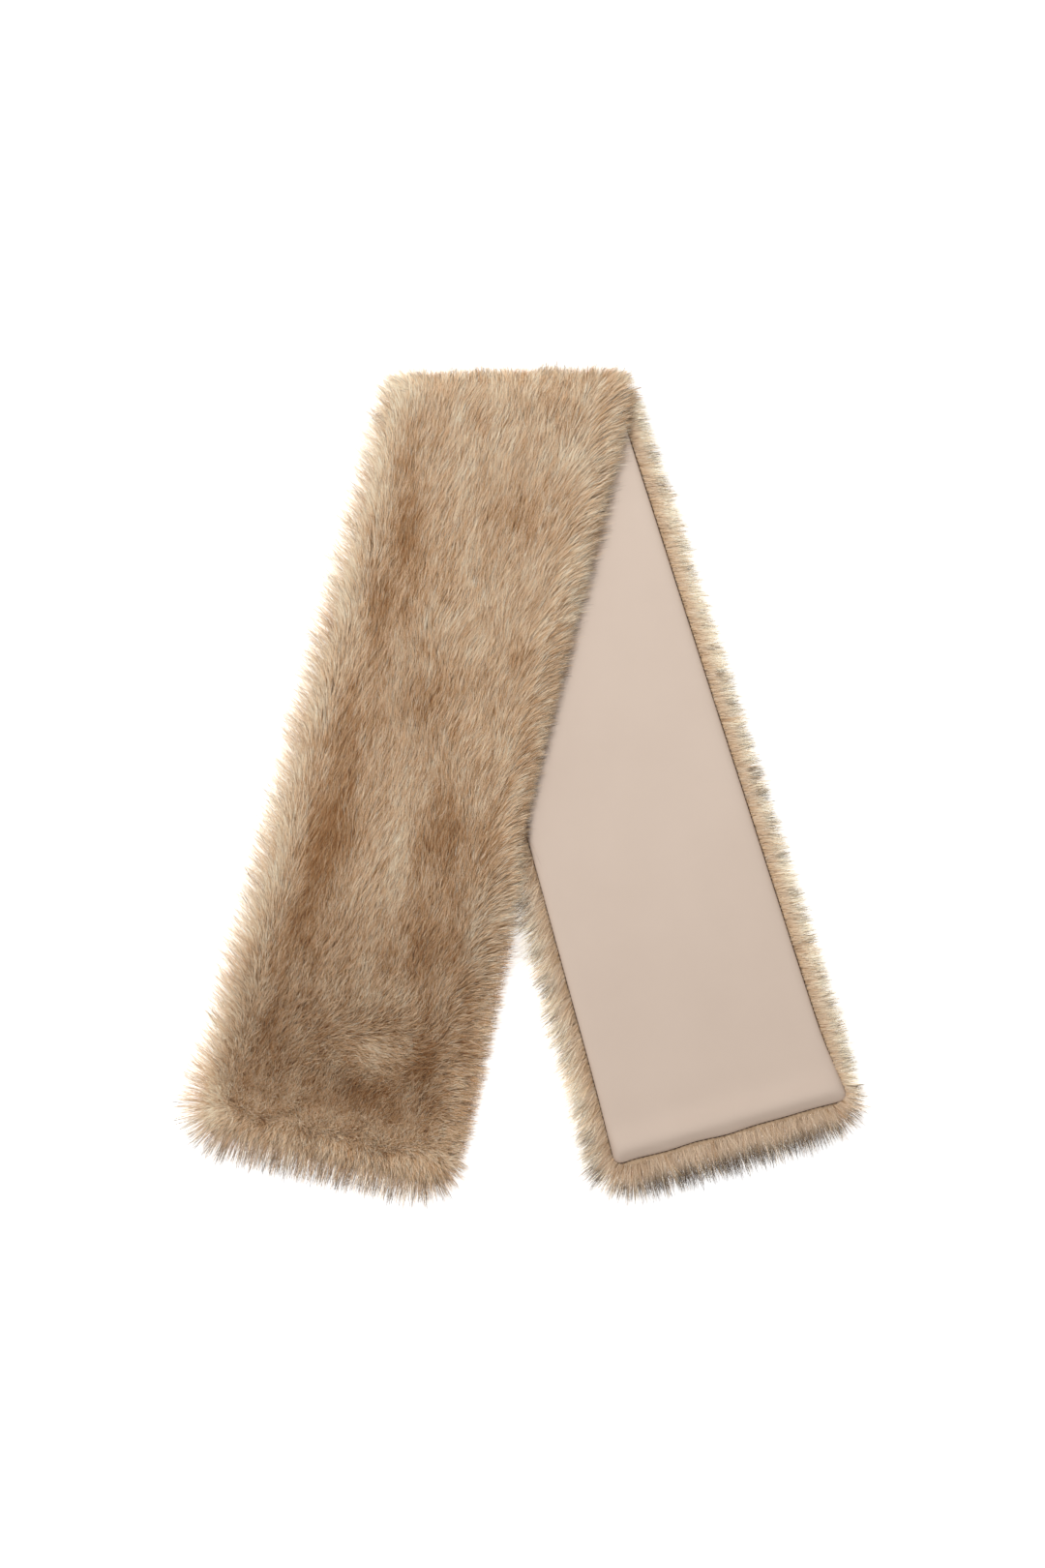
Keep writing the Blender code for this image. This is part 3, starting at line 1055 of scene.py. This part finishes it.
def underfur_finish():
    finish, tree, shader = new_finish("fur_underfur", 0.85)
    mottle = pattern(tree, "ShaderNodeTexNoise", 90, (3, 1, 1), Detail=6.0, Roughness=0.7)
    tone = ramp(tree, ((0.3, shade(148, 121, 94)), (0.7, shade(196, 169, 139))))
    tree.links.new(mottle.outputs["Fac"], tone.inputs["Fac"])
    tree.links.new(tone.outputs["Color"], shader.inputs["Base Color"])
    bump = tree.nodes.new("ShaderNodeBump")
    bump.inputs["Distance"].default_value = 0.0006
    tree.links.new(mottle.outputs["Fac"], bump.inputs["Height"])
    tree.links.new(bump.outputs["Normal"], shader.inputs["Normal"])
    return finish


def lining_finish():
    """A smooth brushed cloth with a fine twill and a faint mottle. Painted light makes it a little
    paler at the fold.
    """
    finish, tree, shader = new_finish("smooth_lining", 0.62)
    shader.inputs["Specular IOR Level"].default_value = 0.3
    mottle = pattern(tree, "ShaderNodeTexNoise", 14, Detail=5.0, Roughness=0.6)
    tone = ramp(tree, ((0.1, shade(187, 168, 153)), (0.9, shade(207, 189, 174))))
    where = tree.nodes.new("ShaderNodeTexCoord")
    parts = tree.nodes.new("ShaderNodeSeparateXYZ")
    tree.links.new(where.outputs["Object"], parts.inputs["Vector"])
    # Painted light: the lining's colour grows paler towards the fold.
    painted_light_towards_fold = tree.nodes.new("ShaderNodeMapRange")
    painted_light_towards_fold.inputs["From Min"].default_value = -0.30
    painted_light_towards_fold.inputs["From Max"].default_value = 0.26
    tree.links.new(parts.outputs["Y"], painted_light_towards_fold.inputs["Value"])
    mix = tree.nodes.new("ShaderNodeMix")
    mix.inputs["Factor"].default_value = 0.35
    tree.links.new(painted_light_towards_fold.outputs["Result"], mix.inputs["A"])
    tree.links.new(mottle.outputs["Fac"], mix.inputs["B"])
    tree.links.new(mix.outputs["Result"], tone.inputs["Fac"])
    tree.links.new(tone.outputs["Color"], shader.inputs["Base Color"])
    slant = BACK_ANGLE + math.pi / 4
    twill = pattern(tree, "ShaderNodeTexWave", 620, turn=slant, Distortion=0.6)
    bump = tree.nodes.new("ShaderNodeBump")
    bump.inputs["Distance"].default_value = 0.00004
    bump.inputs["Strength"].default_value = 0.5
    tree.links.new(twill.outputs["Fac"], bump.inputs["Height"])
    tree.links.new(bump.outputs["Normal"], shader.inputs["Normal"])
    return finish


def thread_and_seam_shade_finish():
    finish, tree, shader = new_finish("seam_thread_and_shade", 0.7)
    strand = pattern(tree, "ShaderNodeTexNoise", 900, Detail=3.0)
    # Dark brown: partly the stitches' own colour, partly painted shade standing for the shadow in
    # the crevice between the lining and the pile.
    tone = ramp(tree, ((0.3, shade(40, 27, 18)), (0.7, shade(68, 48, 33))))
    tree.links.new(strand.outputs["Fac"], tone.inputs["Fac"])
    tree.links.new(tone.outputs["Color"], shader.inputs["Base Color"])
    return finish


# ---------------------------------------------------------------- the studio
FLOOR_SIZE = 8
FLOOR_DROP = 0.0003
FLOOR_GREY = 0.88
FLOOR_GLOW = 0.72
SKY_LIGHT = 0.54
LENS = 92.1
EYE = (-0.003, 0.0006, 2.5)


def add_floor():
    """A pale floor just under the wrap, lit so that it shows almost no shadow."""
    bpy.ops.object.select_all(action="DESELECT")
    bpy.ops.mesh.primitive_plane_add(size=FLOOR_SIZE, location=(0, 0, -FLOOR_DROP))
    floor = bpy.context.object
    floor.name = "floor"
    finish, tree, shader = new_finish("pale_floor", 0.9)
    shader.inputs["Base Color"].default_value = (FLOOR_GREY, FLOOR_GREY, FLOOR_GREY, 1)
    shader.inputs["Specular IOR Level"].default_value = 0.0
    shader.inputs["Emission Color"].default_value = (1, 1, 1, 1)
    shader.inputs["Emission Strength"].default_value = FLOOR_GLOW
    floor.data.materials.append(finish)


def add_light(name, at, size, power):
    """A square lamp that faces the middle of the wrap."""
    light = bpy.data.lights.new(name, "AREA")
    light.size = size
    light.energy = power
    lamp = bpy.data.objects.new(name, light)
    bpy.context.scene.collection.objects.link(lamp)
    lamp.location = at
    lamp.rotation_euler = lamp.location.to_track_quat("Z", "Y").to_euler()


def add_studio():
    scene = bpy.context.scene
    scene.view_settings.view_transform = "Standard"
    world = bpy.data.worlds.new("studio")
    scene.world = world
    world.use_nodes = True
    sky = world.node_tree.nodes["Background"]
    sky.inputs["Color"].default_value = (1, 1, 1, 1)
    sky.inputs["Strength"].default_value = SKY_LIGHT
    add_light("key", at=(-1.15, 0.85, 2.3), size=0.9, power=49)
    add_light("fill", at=(1.6, -0.8, 2.2), size=1.8, power=10)
    add_floor()


def add_camera():
    """Straight above, as far as a person holds a camera over a table."""
    camera = bpy.data.cameras.new("camera")
    camera.lens = LENS
    eye = bpy.data.objects.new("camera", camera)
    eye.location = EYE
    bpy.context.scene.collection.objects.link(eye)
    bpy.context.scene.camera = eye


# ---------------------------------------------------------------- the wrap
FRONT = make_tail(FRONT_ANGLE)
BACK = make_tail(BACK_ANGLE)
FUR_PILE = fur_finish()
UNDERFUR = underfur_finish()
LINING = lining_finish()
THREAD_AND_SEAM_SHADE = thread_and_seam_shade_finish()

add_camera()
add_studio()

UNDERFUR_CUT = (UNDERFUR_SIDE, UNDERFUR_END, UNDERFUR_RADIUS, UNDERFUR)
LINING_CUT = (SIDE_BORDER, END_BORDER, LINING_RADIUS, LINING)
FUR_CELLS = (28, 60)
FOLD_CELLS = (40, 16)
BACK_LINING_CELLS = (32, 84)
FRONT_LINING_CELLS = (24, 64)
front_fur = lay_panel(
    "fur_front", front_underfur_low, front_underfur_high, FUR_CELLS, *UNDERFUR_CUT
)
back_fur = lay_panel(
    "fur_back", back_underfur_low, back_underfur_high, FUR_CELLS, *UNDERFUR_CUT
)
fold_fur = lay_fold("fur_turn", FOLD_CELLS, UNDERFUR)
back_lining = lay_panel(
    "lining_back", back_lining_low, back_lining_high, BACK_LINING_CELLS, *LINING_CUT
)
front_lining = lay_panel(
    "lining_front", front_lining_low, front_lining_high, FRONT_LINING_CELLS, *LINING_CUT
)

FRONT_RIM = Rim(
    tail=FRONT,
    low=front_underfur_low,
    high=front_underfur_high,
    shelf=0.0,
    lean=front_lean,
    reach=front_reach,
    guards=front_rim_guards,
    tone=front_tone,
    ground=front_lift,
)
BACK_RIM = Rim(
    tail=BACK,
    low=back_underfur_low,
    high=back_underfur_high,
    shelf=BACK_SHELF,
    lean=back_lean,
    reach=back_reach,
    guards=back_rim_guards,
    tone=back_tone,
    ground=surface_below,
)
front_hairs = front_pile(FRONT_HAIRS, seed=100)
front_hairs.append(rim_pile("pile_front_rim", FRONT_RIM, FRONT_RIM_HAIRS, seed=200))
back_hairs = [
    rim_pile("pile_back_rim", BACK_RIM, BACK_RIM_HAIRS, seed=300),
    pressed_pile("pile_back_under", back_underfur_low, UNDER_HAIRS, seed=400),
]
fold_hairs = [fold_pile(FOLD_HAIRS, seed=500)]
back_stitches_and_shade = stitches("stitches_and_shade_back", back_seam, seed=600)
front_stitches_and_shade = stitches("stitches_and_shade_front", front_seam, seed=700)

for cloth, node, hairs, flat in (
    (front_fur, "fur_front_tail", front_hairs, (0.144, 0.478)),
    (back_fur, "fur_back_tail", back_hairs, (0.144, 0.478)),
    (fold_fur, "fur_fold", fold_hairs, (0.144, 0.026)),
):
    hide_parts(node)
    for piece in [cloth, *hairs]:
        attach(piece, "root")
for cloth, node, thread_and_shade in (
    (back_lining, "lining_back_tail", back_stitches_and_shade),
    (front_lining, "lining_front_tail", front_stitches_and_shade),
):
    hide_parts(node)
    for piece in (cloth, thread_and_shade):
        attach(piece, "root")
